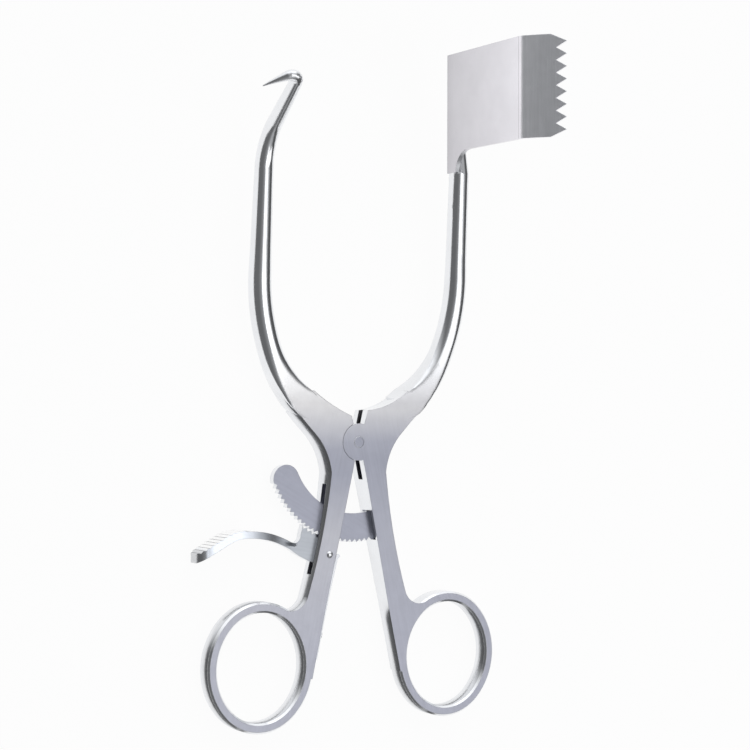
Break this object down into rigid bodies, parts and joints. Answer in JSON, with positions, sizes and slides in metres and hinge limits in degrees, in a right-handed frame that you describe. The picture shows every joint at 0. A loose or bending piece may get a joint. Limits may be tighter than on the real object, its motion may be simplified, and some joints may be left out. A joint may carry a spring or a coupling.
{
  "type": "surgical retractor",
  "caption": "Self-retaining surgical retractor: a sharp outward hook on one arm, a deep toothed blade on the other, finger rings, box lock, ratchet bar and thumb release.",
  "frame": {"origin": "on the axis of the box lock's pivot, at the box lock's flat back face", "axes": "+X from the hook arm to the blade arm, +Y from the finger rings to the tips, +Z away from the back face, the way the blade and the hook reach"},
  "size_m": [0.0962, 0.1896, 0.053],
  "materials": {
    "polished_arm": "satin to polished stainless steel",
    "satin_plate": "satin stainless steel",
    "bright_fitting": "bright stainless steel"
  },
  "bodies": {
    "hook_arm": {"hook_arm": "polished_arm", "lever_pin": "bright_fitting", "leaf_spring": "satin_plate", "spring_screw": "bright_fitting"},
    "blade_arm": {"blade_arm": "polished_arm", "toothed_blade": "satin_plate", "ratchet_bar": "satin_plate", "pivot_pin": "satin_plate"},
    "release_lever": {"release_lever": "polished_arm"}
  },
  "joints": [
    {"name": "box_lock", "type": "hinge", "parent": "hook_arm", "child": "blade_arm", "pos_m": [0, 0, 0.0035], "axis": [0, 0, -1], "range_deg": [-29.25, 19.5]},
    {"name": "thumb_release", "type": "hinge", "parent": "hook_arm", "child": "release_lever", "pos_m": [-0.0091, -0.03103, 0.0035], "axis": [0, 0, 1], "range_deg": [-4.5, 5], "stiffness_Nm_per_rad": 0.05}
  ]
}
